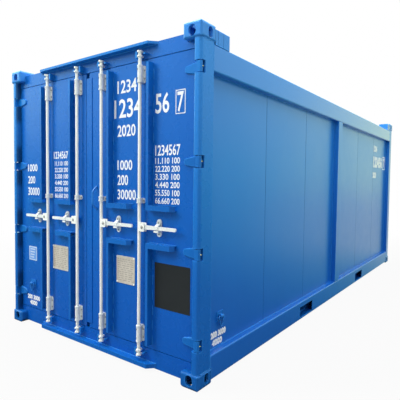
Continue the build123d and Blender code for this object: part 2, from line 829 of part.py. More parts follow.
cheek_offset = handle_thickness / 2 + hub_gap
strap_front = bar_y - handle_thickness / 2 - strap_thickness
strap_back = door_face - catch_plate - strap_clearance
for place, bar_x in (("inner", bar_inner), ("outer", bar_outer)):
    handle_pin_x = bar_x + handle_pin_offset
    catch_x = bar_x + catch_offset
    with BuildPart() as locking_bar:
        rod(bar_x, bar_y, bar_bottom, bar_top, bar_radius)
        for level in cam_levels:
            for base in (level - cam_height / 2, level + cam_height / 2 - cam_arm_height):
                with BuildSketch(Plane.XY.offset(base)):
                    with Locations((bar_x, bar_y)):
                        Circle(cam_radius)
                    with Locations((bar_x, bar_y + (cam_arm_reach - cam_nose_reach) / 2)):
                        Rectangle(cam_arm_width, cam_arm_reach + cam_nose_reach)
                extrude(amount=cam_arm_height)
        for face in (-1, 1):
            cheek = sorted((bar_y + face * cheek_offset, bar_y + face * (cheek_offset + hub_cheek)))
            with BuildSketch(Plane.XZ.offset(-cheek[1])):
                with Locations((bar_x + hub_width / 2, handle_level)):
                    RectangleRounded(hub_width, hub_height, hub_round)
            extrude(amount=hub_cheek)
        with Locations(Location((handle_pin_x, bar_y, handle_level), (90, 0, 0))):
            Cylinder(handle_pin_radius, 2 * (cheek_offset + hub_cheek))
    keep_pair(locking_bar.part, f"{place}_locking_bar")

    with BuildPart() as handle:
        with BuildSketch(Plane.XZ.offset(-bar_y)):
            with Locations((handle_pin_x + (handle_reach - handle_pin_offset) / 2, handle_level)):
                SlotCenterToCenter(handle_reach - handle_pin_offset, handle_height)
            with Locations((handle_pin_x, handle_level)):
                Circle(handle_root_height / 2)
            with BuildLine():
                Polyline(
                    (handle_pin_x, handle_level - handle_root_height / 2),
                    (handle_pin_x, handle_level + handle_root_height / 2),
                    (catch_x, handle_level + handle_height / 2),
                    (catch_x, handle_level - handle_height / 2),
                    close=True,
                )
            make_face()
            with Locations((handle_pin_x, handle_level)):
                Circle(handle_pin_radius + pin_play, mode=Mode.SUBTRACT)
        extrude(amount=handle_thickness / 2, both=True)
        with BuildSketch(Plane.YZ.offset(catch_x)):
            with BuildLine():
                Polyline(
                    (strap_front, handle_level - handle_height / 2),
                    (strap_front, handle_level + handle_height / 2),
                    (strap_back - strap_thickness, handle_level + strap_bend),
                    (strap_back - strap_thickness, handle_level + strap_rise),
                    (strap_back, handle_level + strap_rise),
                    (strap_back, handle_level + strap_bend - strap_thickness),
                    (strap_front + strap_thickness, handle_level + handle_height / 2 - strap_thickness),
                    (strap_front + strap_thickness, handle_level - handle_height / 2),
                    close=True,
                )
            make_face()
        extrude(amount=strap_width / 2, both=True)
        fillet(handle.edges().filter_by(Axis.Y).group_by(Axis.Z)[-1], strap_width / 2 - pin_play)
    keep_pair(handle.part, f"{place}_handle")
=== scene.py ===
# %% [markdown]
# # A steel freight container
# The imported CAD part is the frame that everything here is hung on: it holds the hollow box, the two doors,
# the locking bars and the handles, each at its true place in metres. Blender adds what solids alone lack:
# paint, zinc and rubber, welds, bolts, plates and painted figures, and then light, a floor and a camera.

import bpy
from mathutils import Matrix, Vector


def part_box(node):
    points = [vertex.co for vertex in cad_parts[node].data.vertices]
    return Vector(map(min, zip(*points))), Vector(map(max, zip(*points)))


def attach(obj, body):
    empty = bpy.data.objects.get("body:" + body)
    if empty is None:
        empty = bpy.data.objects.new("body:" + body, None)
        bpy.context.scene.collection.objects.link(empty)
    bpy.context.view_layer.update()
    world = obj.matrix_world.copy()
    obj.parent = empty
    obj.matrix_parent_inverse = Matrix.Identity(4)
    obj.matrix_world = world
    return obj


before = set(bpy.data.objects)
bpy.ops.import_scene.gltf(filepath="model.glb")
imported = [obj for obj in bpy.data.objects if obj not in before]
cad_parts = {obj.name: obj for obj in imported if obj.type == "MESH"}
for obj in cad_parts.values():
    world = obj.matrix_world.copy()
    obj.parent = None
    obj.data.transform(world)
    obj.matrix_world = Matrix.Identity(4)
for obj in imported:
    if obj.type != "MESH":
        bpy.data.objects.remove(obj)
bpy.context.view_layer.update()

import math
import random

import bmesh
import bpy
from mathutils import Matrix, Vector

# %% [markdown]
# The camera stands at head height, off the corner where the right door meets the long side. Its place and
# turn were fitted to the corners of the container, so the lines of the render fall on those of the
# photograph. A camera in Blender looks along its own -Z axis, so the three axes are worked out first and
# put into one matrix.

# %% Camera
scene = bpy.context.scene
eye = Vector((2.8606, -5.2391, 1.4882))
yaw, pitch, roll = (math.radians(a) for a in (-36.535, -2.642, 0.663))
ahead = Vector((math.sin(yaw) * math.cos(pitch), math.cos(yaw) * math.cos(pitch), math.sin(pitch)))
level_right = Vector((math.cos(yaw), -math.sin(yaw), 0))
level_up = level_right.cross(ahead)
camera_right = level_right * math.cos(roll) + level_up * math.sin(roll)
camera_up = level_up * math.cos(roll) - level_right * math.sin(roll)
lens = bpy.data.cameras.new("camera")
lens.sensor_width = 36.0
lens.lens = 36.19
camera = bpy.data.objects.new("camera", lens)
camera_turn = Matrix((camera_right, camera_up, -ahead)).transposed().to_4x4()
camera.matrix_world = Matrix.Translation(eye) @ camera_turn
scene.collection.objects.link(camera)
scene.camera = camera
scene.view_settings.view_transform = "Standard"
print("camera at", list(eye), "lens", lens.lens)

# %% [markdown]
# Materials and geometry trees are both made of nodes, so one small set of helpers serves both. `Value`
# wraps a socket and lets plain sums such as `1 - mask` add the Math nodes by themselves. `Tree.node` is the
# one place where a node is made: it sets the node's own settings first, and then feeds its sockets with
# values or links.


# %% Node helpers
class Value:
    """A socket that carries a number, with the sums that the finishes use."""

    def __init__(self, tree, socket):
        self.tree = tree
        self.socket = socket

    def sum(self, operation, first, second):
        return self.tree.node("ShaderNodeMath", {"operation": operation}, {0: first, 1: second})["Value"]

    def __add__(self, other):
        return self.sum("ADD", self, other)

    def __sub__(self, other):
        return self.sum("SUBTRACT", self, other)

    def __rsub__(self, other):
        return self.sum("SUBTRACT", other, self)

    def __mul__(self, other):
        return self.sum("MULTIPLY", self, other)

    __radd__ = __add__
    __rmul__ = __mul__


class Made:
    """A finished node, whose outputs are asked for by name or number."""

    def __init__(self, tree, node):
        self.tree = tree
        self.node = node

    def __getitem__(self, key):
        return Value(self.tree, self.node.outputs[key])


class Tree:
    """A node tree, the one method that adds nodes to it, and short names for the commonest nodes."""

    def __init__(self, tree):
        self.tree = tree

    def node(self, kind, settings=None, sockets=None):
        made = self.tree.nodes.new(kind)
        for key, value in (settings or {}).items():
            setattr(made, key, value)
        for key, value in (sockets or {}).items():
            self.feed(made.inputs[key], value)
        return Made(self, made)

    def feed(self, socket, value):
        for one in value if isinstance(value, list) else [value]:
            if isinstance(one, Value):
                self.tree.links.new(one.socket, socket)
            else:
                socket.default_value = one

    def ramp(self, value, start, end):
        """A share that goes from 0 to 1 while the value goes from start to end."""
        sockets = {"Value": value, "From Min": start, "From Max": end}
        return self.node("ShaderNodeMapRange", {}, sockets)["Result"]

    def between(self, factor, first, second):
        """One colour mixed into another."""
        return self.node("ShaderNodeMix", {"data_type": "RGBA"}, {0: factor, 6: first, 7: second})[2]

    def split(self, vector):
        """A vector taken apart into X, Y and Z."""
        return self.node("ShaderNodeSeparateXYZ", {}, {0: vector})


probe_samples = 6
edge_width, flat_match, edge_match = 0.018, 0.99, 0.88
hollow_width, open_share, shut_share = 0.080, 0.50, 0.15


class Finish(Tree):
    """A material with one Principled shader."""

    def __init__(self, name, **constants):
        self.material = bpy.data.materials.new(name)
        self.material.use_nodes = True
        super().__init__(self.material.node_tree)
        self.shader = self.tree.nodes["Principled BSDF"]
        for key, value in constants.items():
            self.set(key.replace("_", " "), value)
        self.place = self.node("ShaderNodeTexCoord")["Object"]

    def set(self, socket, value):
        names = {s.name.lower(): s for s in self.shader.inputs}
        self.feed(names[socket.lower()], value)

    def noise(self, scale, detail=2.0, stretch=(1.0, 1.0, 1.0)):
        """Cloudy noise from 0 to 1, in patches of about one metre divided by the scale."""
        turned = self.node("ShaderNodeMapping", {}, {"Vector": self.place, "Scale": stretch})["Vector"]
        sockets = {"Vector": turned, "Scale": scale, "Detail": detail}
        return self.node("ShaderNodeTexNoise", {}, sockets)["Fac"]

    def mottle(self, dark, light, scale, detail=2.0):
        """Let the colour wander between two tones."""
        self.set("Base Color", self.between(self.noise(scale, detail), dark, light))

    def dull(self, least, span, scale, detail=2.0):
        """Let the roughness wander above its least value."""
        self.set("Roughness", least + span * self.noise(scale, detail))

    def edges(self):
        """1 along the edges of the mesh, 0 away from them."""
        true_way = self.node("ShaderNodeNewGeometry")["True Normal"]
        rounded = self.node("ShaderNodeBevel", {"samples": probe_samples}, {"Radius": edge_width})["Normal"]
        match = self.node("ShaderNodeVectorMath", {"operation": "DOT_PRODUCT"}, {0: true_way, 1: rounded})
        return self.ramp(match["Value"], flat_match, edge_match)

    def hollows(self):
        """1 inside holes and deep corners, 0 in the open."""
        settings = {"samples": probe_samples}
        around = self.node("ShaderNodeAmbientOcclusion", settings, {"Distance": hollow_width})
        return self.ramp(around["AO"], open_share, shut_share)

    def bump(self, height, depth, under=None):
        """Relief of a depth in metres, on top of other relief."""
        sockets = {"Height": height, "Distance": depth, "Strength": 1.0}
        if under is not None:
            sockets["Normal"] = under
        return self.node("ShaderNodeBump", {}, sockets)["Normal"]


print("node helpers ready")

# %% [markdown]
# The light is that of a bright day without sun, with a white sky all round. The Light Path node lets the
# camera see the sky as white paper. What the gloss mirrors is another matter: the long side mirrors a teal
# distance that grows paler and warmer far off, and the doors a darker foreground with a pale patch of sky
# high on the left. So the sky has tones of its own that only glossy rays see, chosen by the way that the
# ray goes.

# %% Sky
world = bpy.data.worlds.new("sky")
world.use_nodes = True
scene.world = world
sky = Tree(world.node_tree)
white = (1, 1, 1, 1)
sea_green = (0.62, 1.00, 0.95, 1)
low_teal, near_teal = (0.12, 1.00, 0.98, 1), (0.56, 1.06, 1.15, 1)
far_cream, left_cream = (0.94, 1.12, 0.62, 1), (0.70, 1.00, 0.72, 1)
sky_level, distance_level, left_level = 0.75, 1.5, 3.2
front_low_level, front_high_level = 0.3, 1.9


def sky_part(colour, strength):
    """One plain part of the sky."""
    return sky.node("ShaderNodeBackground", {}, {"Color": colour, "Strength": strength})["Background"]


def either(share, first, second):
    """The second shader in place of the first, by a share from 0 to 1."""
    return sky.node("ShaderNodeMixShader", {}, {0: share, 1: first, 2: second})["Shader"]


path = sky.node("ShaderNodeLightPath")
ray = sky.split(sky.node("ShaderNodeTexCoord")["Generated"])
above = sky.ramp(ray["Z"], 0.0, 0.30)
foreground = either(above, sky_part(sea_green, front_low_level), sky_part(sea_green, front_high_level))
near_tone = sky.between(sky.ramp(ray["Z"], 0.0, 0.16), low_teal, near_teal)
distance_tone = sky.between(sky.ramp(ray["Y"], 0.88, 0.985), near_tone, far_cream)
beyond = sky.ramp(ray["Y"], -0.72, 0.1)
mirrored_sky = either(beyond, foreground, sky_part(distance_tone, distance_level))
left_patch = sky.ramp(ray["X"], -0.74, -0.86) * sky.ramp(ray["Z"], 0.06, 0.18)
mirrored_sky = either(left_patch, mirrored_sky, sky_part(left_cream, left_level))
unseen = either(path["Is Glossy Ray"], sky_part(white, sky_level), mirrored_sky)
seen = path["Is Camera Ray"] + path["Is Transmission Ray"]
whole_sky = either(seen, unseen, sky_part(white, 1.0))
sky.feed(world.node_tree.nodes["World Output"].inputs["Surface"], whole_sky)
print("sky has", len(world.node_tree.nodes), "nodes")

# %% [markdown]
# One very large lamp overhead gives the ledges a light top and a dark underside. A wide lamp far to the
# left leaves the right flanks of the guard angles in the shade. It is hidden from glossy rays, because its
# highlight would bleach the header above the doors.


# %% Lamps
def lamp(name, place, target, size, power):
    """A square soft lamp that faces a point."""
    light = bpy.data.lights.new(name, "AREA")
    light.size = size
    light.energy = power
    holder = bpy.data.objects.new(name, light)
    holder.location = place
    holder.rotation_mode = "QUATERNION"
    holder.rotation_quaternion = (Vector(target) - Vector(place)).to_track_quat("-Z", "Y")
    scene.collection.objects.link(holder)
    return holder


lamp("overhead_lamp", place=(0.8, -2.0, 8.5), target=(0.4, -1.0, 0.0), size=9.0, power=1100.0)
left_lamp = lamp("left_lamp", place=(-6.5, -8.5, 8.0), target=(0.0, -3.0, 1.6), size=4.0, power=900.0)
left_lamp.visible_glossy = False
print("two lamps")

# %% [markdown]
# The floor is a plain grey sheet that throws little light back, so the lower half of the container darkens
# as it does out of doors. The camera sees it almost white, with a part of the shadow left near the
# container. In the gloss it is dark near by, and glows in the tones of the distance farther off and to the
# left.

# %% Floor
floor_half = 60.0
floor_corners = [(x * floor_half, y * floor_half, 0) for x, y in ((-1, -1), (1, -1), (1, 1), (-1, 1))]
floor_mesh = bpy.data.meshes.new("ground")
floor_mesh.from_pydata(floor_corners, [], [(0, 1, 2, 3)])
ground = bpy.data.objects.new("ground", floor_mesh)
scene.collection.objects.link(ground)

pale = Finish("pale_floor", roughness=0.9, specular_ior_level=0.1)
floor_path = pale.node("ShaderNodeLightPath")
in_mirror = floor_path["Is Glossy Ray"]
floor_grey = pale.between(pale.noise(0.4), (0.23, 0.23, 0.23, 1), (0.26, 0.26, 0.25, 1))
dark_floor = (0.045, 0.13, 0.20, 1)
pale.set("Base Color", pale.between(in_mirror, floor_grey, dark_floor))

haze_start, haze_end, near_white = 3.0, 8.0, 0.94
distance = pale.node("ShaderNodeVectorMath", {"operation": "LENGTH"}, {0: pale.place})["Value"]
haze = pale.ramp(distance, haze_start, haze_end)
seen_white = floor_path["Is Camera Ray"] * (near_white + (1.0 - near_white) * haze)

floor_teal, floor_green = (0.16, 1.00, 0.96, 1), (1.06, 1.10, 0.96, 1)
left_share = 0.6
spot = pale.split(pale.place)
far_floor = pale.ramp(spot["Y"], -1.5, 4.5)
left_floor = pale.ramp(spot["X"], -2.2, -5.5)
glancing = pale.ramp(pale.split(pale.node("ShaderNodeNewGeometry")["Incoming"])["Y"], -0.86, -0.98)
mirrored_tone = pale.between(far_floor, floor_teal, pale.between(glancing, floor_teal, floor_green))
mirrored_white = in_mirror * (far_floor + left_share * left_floor)

tint = pale.between(in_mirror, white, mirrored_tone)
glow = pale.node("ShaderNodeEmission", {}, {"Color": tint, "Strength": 1.0})
floor_mix = pale.node(
    "ShaderNodeMixShader", {},
    {0: seen_white + mirrored_white, 1: Made(pale, pale.shader)["BSDF"], 2: glow["Emission"]},
)
pale.feed(pale.tree.nodes["Material Output"].inputs["Surface"], floor_mix["Shader"])
floor_mesh.materials.append(pale.material)
print("floor", 2 * floor_half, "m across")

# %% [markdown]
# Most of the container wears one coat of blue gloss enamel over steel. Real enamel is never one flat
# colour: it is a little lighter where it lies thin, it has the fine dimples that spraying leaves, and a
# broad thin sheet under it is never quite flat, which shows in what it mirrors. The sharp edges get a
# painted highlight, a lighter blue: the Bevel node finds them, because its rounded normal leaves the true
# one only near an edge. The holes in castings get painted shade, a near black blue, and the Ambient
# Occlusion node finds those. The flanks of the door posts that face the doors get painted shade, darkest
# beside the hinges, and a Math node that folds the height back and forth finds the nearest hinge. The upper
# parts are painted a lighter blue, a painted highlight for the brighter light and sheen up there. One
# function makes the coat, and each kind of steel gets its own tones and waviness, so that thick castings
# look heavy and wide sheets look thin.

# %% Blue enamel
# A near black blue for painted shade in hollows and beside the hinges.
painted_shade = (0.001, 0.012, 0.045, 1)
# The lighter blue of the painted highlight on edges.
edge_highlight_blue = (0.030, 0.240, 0.680, 1)
blade_lo, blade_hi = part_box("right_hinge_blades")
blade_height, hinge_gaps = 0.076, 3
lowest_hinge = blade_lo.z + blade_height / 2
hinge_pitch = (blade_hi.z - blade_lo.z - blade_height) / hinge_gaps
hinge_levels = [round(lowest_hinge + n * hinge_pitch, 3) for n in range(hinge_gaps + 1)]
# Reach and strength of the painted shade beside the hinges.
shade_reach, shade_blur = 0.20, 0.03
flank_shade, near_hinge_shade = 0.25, 0.50


def shade_beside_hinges(coat, place):
    """Painted shade on the flanks that face the doors, more near a hinge, and 0 elsewhere."""
    facing = coat.split(coat.node("ShaderNodeNewGeometry")["True Normal"])["X"]
    inward = coat.ramp(place["X"] * facing, -0.5, -0.9)
    height = place["Z"] - lowest_hinge
    away = height.sum("PINGPONG", height, hinge_pitch / 2)
    near = coat.ramp(away, shade_reach + shade_blur, shade_reach - shade_blur)
    return inward * (flank_shade + near_hinge_shade * near)


def enamel(
    name, deep, thin, lit_tone, lit_heights, wave=0.0, cast=0.0, mirror=0.3, dullness=0.20, painted_edge_light=0.5, shade_by_hinges=False
):
    """Blue gloss paint, deep or thin, with a painted highlight that makes it lighter between two heights.
    wave bends broad sheets and cast roughens castings, both in metres, and cast also brings painted shade
    into their hollows; mirror is how much the gloss throws back, and the last two say how light the painted
    highlight on the edges is and whether painted shade sits beside the hinges."""
    coat = Finish(name, specular_ior_level=mirror)
    drift = coat.noise(0.6, 3.0)
    runs = coat.noise(3.0, 2.0, (6.0, 6.0, 0.35))
    body = coat.between(drift * 0.7 + runs * 0.3, deep, thin)
    place = coat.split(coat.place)
    # Painted highlight: lighter towards the top, for the brighter light and sheen up there.
    body = coat.between(coat.ramp(place["Z"], *lit_heights), body, lit_tone)
    if cast:
        # Painted shade in the hollows of castings, found by ambient occlusion.
        body = coat.between(coat.hollows(), body, painted_shade)
    # Painted highlight: the edges are mixed towards a lighter blue.
    body = coat.between(coat.edges() * painted_edge_light, body, edge_highlight_blue)
    if shade_by_hinges:
        # Painted shade on the post flanks that face the doors.
        body = coat.between(shade_beside_hinges(coat, place), body, painted_shade)
    coat.set("Base Color", body)
    coat.set("Roughness", dullness + 0.10 * coat.noise(9.0, 4.0) + 0.05 * drift)
    relief = coat.bump(coat.noise(420.0, 1.0), 0.00006)
    relief = coat.bump(coat.noise(1.7, 1.0), wave, relief)
    relief = coat.bump(coat.noise(140.0, 3.0), cast, relief)
    coat.set("Normal", relief)
    return coat.material


frame_enamel = enamel(
    "frame_enamel", deep=(0.003, 0.112, 0.430, 1), thin=(0.006, 0.145, 0.505, 1),
    lit_tone=(0.006, 0.220, 0.680, 1), lit_heights=(2.1, 2.5), wave=0.0008,
)
guard_enamel = enamel(
    "guard_enamel", deep=(0.003, 0.098, 0.420, 1), thin=(0.006, 0.128, 0.490, 1),
    lit_tone=(0.004, 0.175, 0.590, 1), lit_heights=(2.1, 2.5), wave=0.0008, painted_edge_light=0.15,
)
post_enamel = enamel(
    "post_enamel", deep=(0.003, 0.102, 0.420, 1), thin=(0.006, 0.130, 0.490, 1),
    lit_tone=(0.020, 0.225, 0.660, 1), lit_heights=(0.7, 2.5), wave=0.0008, shade_by_hinges=True,
)
door_enamel = enamel(
    "door_enamel", deep=(0.002, 0.082, 0.410, 1), thin=(0.004, 0.108, 0.480, 1),
    lit_tone=(0.006, 0.132, 0.520, 1), lit_heights=(0.4, 2.6), wave=0.0025, painted_edge_light=0.0,
)
cast_enamel = enamel(
    "cast_enamel", deep=(0.003, 0.088, 0.350, 1), thin=(0.006, 0.115, 0.420, 1),
    lit_tone=(0.032, 0.225, 0.660, 1), lit_heights=(0.5, 2.0), cast=0.0006,
)
sheet_enamel = enamel(
    "sheet_enamel", deep=(0.002, 0.098, 0.440, 1), thin=(0.004, 0.125, 0.510, 1),
    lit_tone=(0.008, 0.175, 0.580, 1), lit_heights=(0.6, 2.2), wave=0.0030, mirror=0.6, dullness=0.23,
)
# A lighter blue for the top rails and the grab bar, a painted highlight for the light they catch.
rail_enamel = enamel(
    "rail_enamel", deep=(0.024, 0.178, 0.580, 1), thin=(0.033, 0.205, 0.635, 1),
    lit_tone=(0.036, 0.215, 0.655, 1), lit_heights=(2.2, 2.5), wave=0.0008, mirror=0.5, dullness=0.10,
)
# Weld beads in a lighter blue, a painted highlight for the bright lines that they catch.
bead_enamel = enamel(
    "bead_enamel", deep=(0.010, 0.150, 0.500, 1), thin=(0.022, 0.200, 0.580, 1),
    lit_tone=(0.035, 0.260, 0.700, 1), lit_heights=(1.0, 2.6),
)
print("enamel for frame, guards, posts, doors, castings, sheets, rails and weld beads")

# %% [markdown]
# The locking gear is hot dip galvanised and almost white. Fresh zinc freezes in broad flat crystals, so a
# Voronoi pattern with a value for each cell changes its lightness and its shine a little from one crystal
# to the next.


# %% Zinc
def zinc(name, light, dark):
    """Galvanised steel with pale crystals."""
    coat = Finish(name, metallic=0.05)
    cells = coat.node("ShaderNodeTexVoronoi", {}, {"Vector": coat.place, "Scale": 70.0})
    crystal = coat.node("ShaderNodeSeparateColor", {}, {"Color": cells["Color"]})["Red"]
    dulled = coat.noise(14.0, 4.0)
    coat.set("Base Color", coat.between(crystal * 0.6 + dulled * 0.4, dark, light))
    coat.set("Roughness", 0.30 + 0.12 * crystal + 0.10 * dulled)
    coat.set("Normal", coat.bump(coat.noise(90.0, 2.0), 0.00015))
    return coat.material


bar_zinc = zinc("bar_zinc", (0.96, 0.97, 0.91, 1), (0.88, 0.90, 0.84, 1))
gear_zinc = zinc("gear_zinc", (0.88, 0.90, 0.87, 1), (0.70, 0.74, 0.73, 1))
bolt_zinc = zinc("bolt_zinc", (0.50, 0.50, 0.48, 1), (0.30, 0.30, 0.29, 1))
print("zinc for bars, gear and bolts")

# %% [markdown]
# The seals round the doors are black rubber with fine mould lines along them, and the floor inside is
# plywood. The boards lie across the floor, and the wood gets its grain from noise that is stretched along
# them.

# %% Rubber and plywood
rubber = Finish("seal_rubber", specular_ior_level=0.3)
ribs = rubber.node("ShaderNodeTexWave", {"bands_direction": "Z"}, {"Vector": rubber.place, "Scale": 60.0})
rubber.mottle((0.012, 0.012, 0.013, 1), (0.026, 0.026, 0.027, 1), 6.0, 4.0)
rubber.dull(0.62, 0.2, 25.0, 3.0)
rubber.set("Normal", rubber.bump(ribs["Fac"], 0.0004))

plywood = Finish("floor_plywood", specular_ior_level=0.35)
grain = plywood.noise(10.0, 6.0, (0.5, 9.0, 9.0))
board_long, board_wide, board_gap = 2.4, 1.2, 0.004
boards = plywood.node(
    "ShaderNodeTexBrick", {"offset": 0.0},
    {"Vector": plywood.place, "Scale": 1.0, "Mortar Size": board_gap,
     "Brick Width": board_long, "Row Height": board_wide},
)["Fac"]
wood = plywood.between(grain, (0.24, 0.13, 0.065, 1), (0.44, 0.28, 0.155, 1))
plywood.set("Base Color", plywood.between(boards, wood, (0.05, 0.035, 0.025, 1)))
plywood.set("Roughness", 0.45 + 0.25 * grain)
plywood.set("Normal", plywood.bump(grain, 0.0006))
print("rubber and plywood ready")

# %% [markdown]
# Each CAD node now takes its finish. The meshes stay as they are; only their material slots change.

# %% Finishes for the CAD nodes
sheets = ("side_panels", "end_wall", "roof", "mid_posts", "end_posts", "bottom_side_rails", "end_beams")
castings = ("top_corner_fittings", "bottom_corner_fittings", "top_corner_blocks")
leaves = ("right_door_leaf", "left_door_leaf", "centre_cover_strip", "door_header", "door_sill")
used = {}
for name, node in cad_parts.items():
    if "gasket" in name:
        finish = rubber.material
    elif name == "floor":
        finish = plywood.material
    elif "locking_bar" in name:
        finish = bar_zinc
    elif "handle" in name or "guides" in name:
        finish = gear_zinc
    elif name in sheets:
        finish = sheet_enamel
    # Painted highlight: the top rails and the grab bar take the lighter blue.
    elif name in ("top_side_rails", "grab_bar"):
        finish = rail_enamel
    elif name == "door_posts":
        finish = post_enamel
    elif "guards" in name or name == "door_lips":
        finish = guard_enamel
    elif name in leaves:
        finish = door_enamel
    elif name in castings:
        finish = cast_enamel
    else:
        finish = frame_enamel
    node.data.materials.clear()
    node.data.materials.append(finish)
    used[finish.name] = used.get(finish.name, 0) + 1
print("nodes for each finish", used)

# %% [markdown]
# New pieces are meshes whose place is in their points, as it is in a CAD node. `settle` turns a mesh into a
# piece that rides on a body.


# %% Piece helper
def settle(name, mesh, body):
    """Make a mesh a piece of the container."""
    mesh.name = name
    piece = bpy.data.objects.new(name, mesh)
    scene.collection.objects.link(piece)
    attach(piece, body)
    mesh.calc_loop_triangles()
    print(name, "on", body, len(mesh.loop_triangles), "triangles")


# %% [markdown]
# Welds, bolts, rivets and grease nipples repeat all over the container, so each kind is one Geometry Nodes
# tree. The tree reads a few points or lines, and its named inputs give the sizes. `grow` runs a tree on
# such a sketch, takes the finished mesh, and throws the sketch and the modifier away.


# %% Geometry tree helpers
class Shape(Tree):
    """A Geometry Nodes tree with named inputs."""

    def __init__(self, name, inputs):
        group = bpy.data.node_groups.new(name, "GeometryNodeTree")
        super().__init__(group)
        group.interface.new_socket("Geometry", in_out="INPUT", socket_type="NodeSocketGeometry")
        group.interface.new_socket("Geometry", in_out="OUTPUT", socket_type="NodeSocketGeometry")
        for key, value in inputs.items():
            kind = {int: "NodeSocketInt", float: "NodeSocketFloat"}.get(type(value), "NodeSocketMaterial")
            socket = group.interface.new_socket(key, in_out="INPUT", socket_type=kind)
            if kind != "NodeSocketMaterial":
                socket.default_value = value
        self.given = self.node("NodeGroupInput")

    def finish(self, geometry):
        """Turn instances into mesh, give it its finish and hand it out."""
        real = self.node("GeometryNodeRealizeInstances", {}, {"Geometry": geometry})["Geometry"]
        sockets = {"Geometry": real, "Material": self.given["Finish"]}
        dressed = self.node("GeometryNodeSetMaterial", {}, sockets)
        self.node("NodeGroupOutput", {}, {0: dressed["Geometry"]})

    def stand(self, instance):
        """Put a copy of a shape on each point, with its +Z along the point's facing."""
        vectors = {"data_type": "FLOAT_VECTOR"}
        facing = self.node("GeometryNodeInputNamedAttribute", vectors, {"Name": "facing"})
        turn = self.node("FunctionNodeAlignRotationToVector", {"axis": "Z"}, {"Vector": facing["Attribute"]})
        return self.node(
            "GeometryNodeInstanceOnPoints", {},
            {"Points": self.given["Geometry"], "Instance": instance, "Rotation": turn["Rotation"]},
        )["Instances"]


def plain_mesh(holder):
    """The mesh that an object shows, without its modifiers."""
    return bpy.data.meshes.new_from_object(holder.evaluated_get(bpy.context.evaluated_depsgraph_get()))


def grow(shape, sketch, **inputs):
    """Run a shape's tree on a sketch mesh and return a plain mesh."""
    holder = bpy.data.objects.new("sketch", sketch)
    scene.collection.objects.link(holder)
    modifier = holder.modifiers.new("shape", "NODES")
    modifier.node_group = shape.tree
    for item in shape.tree.interface.items_tree:
        key = item.name.lower().replace(" ", "_")
        if item.in_out == "INPUT" and key in inputs:
            modifier[item.identifier] = inputs[key]
    bpy.context.view_layer.update()
    done = plain_mesh(holder)
    holder.modifiers.remove(modifier)
    bpy.data.objects.remove(holder)
    bpy.data.meshes.remove(sketch)
    return done


def points_sketch(places):
    """Loose points, each with the way it faces."""
    sketch = bpy.data.meshes.new("points")
    sketch.from_pydata([place for place, _ in places], [], [])
    facing = sketch.attributes.new("facing", "FLOAT_VECTOR", "POINT")
    facing.data.foreach_set("vector", [c for _, way in places for c in way])
    return sketch


def lines_sketch(lines):
    """Runs of points, joined by edges."""
    points, edges = [], []
    for line in lines:
        first = len(points)
        points += line
        edges += [(first + i, first + i + 1) for i in range(len(line) - 1)]
    sketch = bpy.data.meshes.new("lines")
    sketch.from_pydata(points, edges, [])
    return sketch


print("geometry helpers ready")

# %% [markdown]
# A weld bead runs wherever two plates meet in a corner. It could be a smooth tube, but a hand laid bead
# swells and shrinks with every move of the torch. The tree cuts each line into short steps, gives every
# step its own width from a seeded random value, and sweeps a small circle along it, half sunk in the
# corner.

# %% Weld tree
weld = Shape("weld_bead", {"Bead radius": 0.004, "Step": 0.012, "Ripple": 0.3, "Seed": 3, "Finish": None})
run = weld.node("GeometryNodeMeshToCurve", {}, {"Mesh": weld.given["Geometry"]})["Curve"]
steps = weld.node(
    "GeometryNodeResampleCurve", {"mode": "LENGTH"}, {"Curve": run, "Length": weld.given["Step"]}
)["Curve"]
swell = weld.node(
    "FunctionNodeRandomValue", {"data_type": "FLOAT"}, {2: -1.0, 3: 1.0, "Seed": weld.given["Seed"]}
)[1]
circle = weld.node(
    "GeometryNodeCurvePrimitiveCircle", {}, {"Resolution": 6, "Radius": weld.given["Bead radius"]}
)["Curve"]
bead = weld.node(
    "GeometryNodeCurveToMesh", {},
    {"Curve": steps, "Profile Curve": circle, "Scale": 1.0 + swell * weld.given["Ripple"], "Fill Caps": True},
)["Mesh"]
weld.finish(weld.node("GeometryNodeSetShadeSmooth", {}, {"Geometry": bead})["Geometry"])
print("weld tree has", len(weld.tree.nodes), "nodes")

# %% [markdown]
# The lines of the welds follow the boxes of the CAD nodes: round each bay of the long sides, round the end
# wall, and at the joints of posts and rails.


# %% Weld lines on the frame
def mirrored(lines, axis):
    """The lines, and their mirror images across the middle."""
    return lines + [[tuple(-c if i == axis else c for i, c in enumerate(p)) for p in line] for line in lines]


rail_low, rail_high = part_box("bottom_side_rails")[1].z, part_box("top_side_rails")[0].z
panel_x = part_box("side_panels")[1].x
bay_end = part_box("side_panels")[1].y
bay_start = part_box("mid_posts")[1].y
wall_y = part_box("end_wall")[1].y
wall_x, wall_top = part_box("end_wall")[1].x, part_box("end_wall")[1].z
rail_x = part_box("top_side_rails")[1].x
rail_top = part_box("top_side_rails")[1].z
rail_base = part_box("bottom_side_rails")[0].z
bay = [
    (panel_x, bay_start, rail_low), (panel_x, bay_end, rail_low),
    (panel_x, bay_end, rail_high), (panel_x, bay_start, rail_high), (panel_x, bay_start, rail_low),
]
side_lines = mirrored(mirrored([bay], 1), 0)
wall_line = [
    (-wall_x, wall_y, rail_low), (wall_x, wall_y, rail_low),
    (wall_x, wall_y, wall_top), (-wall_x, wall_y, wall_top), (-wall_x, wall_y, rail_low),
]
joint_x = rail_x - 0.0015
joint_gap = 0.01
joint_lines = mirrored(mirrored([
    [(joint_x, bay_end, rail_base), (joint_x, bay_end, rail_low - joint_gap)],
    [(joint_x, bay_end, rail_high + joint_gap), (joint_x, bay_end, rail_top)],
], 1), 0)
frame_welds = grow(weld, lines_sketch(side_lines + [wall_line]), bead_radius=0.005, finish=frame_enamel)
settle("panel_welds", frame_welds, "container")
joint_welds = grow(weld, lines_sketch(joint_lines), bead_radius=0.003, ripple=0.2, seed=5, finish=bead_enamel)
settle("rail_joint_welds", joint_welds, "container")
